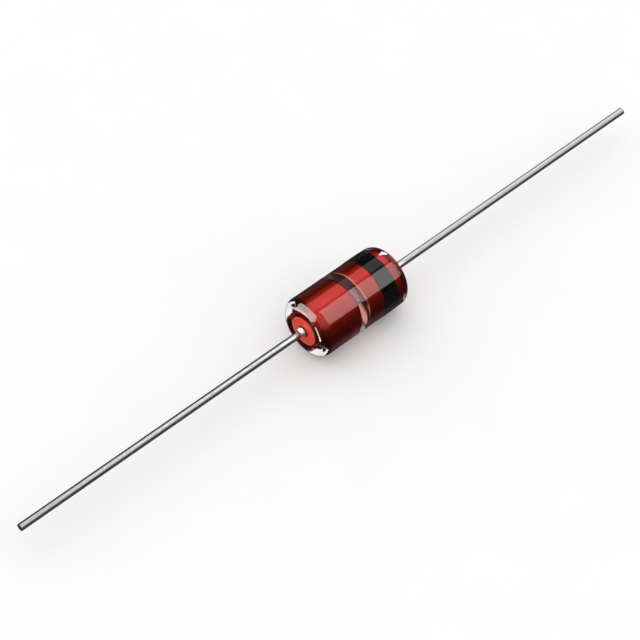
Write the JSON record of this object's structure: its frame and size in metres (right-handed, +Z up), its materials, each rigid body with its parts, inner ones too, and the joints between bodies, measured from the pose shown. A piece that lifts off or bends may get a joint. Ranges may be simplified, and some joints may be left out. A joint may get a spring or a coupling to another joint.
{
  "type": "switching diode",
  "caption": "Axial-lead switching diode: red metal slugs fused in a round-ended glass sleeve, a black cathode band at one end, and a straight wire lead from each end.",
  "frame": {"origin": "middle of the glass body, on the axis of the leads", "axes": "+X along the leads from the anode to the banded cathode end, +Z up as the diode lies"},
  "size_m": [0.028, 0.0022, 0.0022],
  "materials": {
    "clear_glass": "clear, fire-polished",
    "black_paint": "glossy printed ink",
    "red_slug": "red oxide coat, satin",
    "silicon": "sawn and polished",
    "silver": "plated",
    "weld_metal": "bright, melted",
    "tinned_wire": "drawn and tinned, bright"
  },
  "bodies": {
    "root": {"glass_sleeve": "clear_glass", "cathode_band": "black_paint", "anode_slug": "red_slug", "cathode_slug": "red_slug", "silicon_die": "silicon", "contact_bump": "silver", "anode_weld": "weld_metal", "cathode_weld": "weld_metal", "anode_lead": "tinned_wire", "cathode_lead": "tinned_wire"}
  },
  "joints": []
}
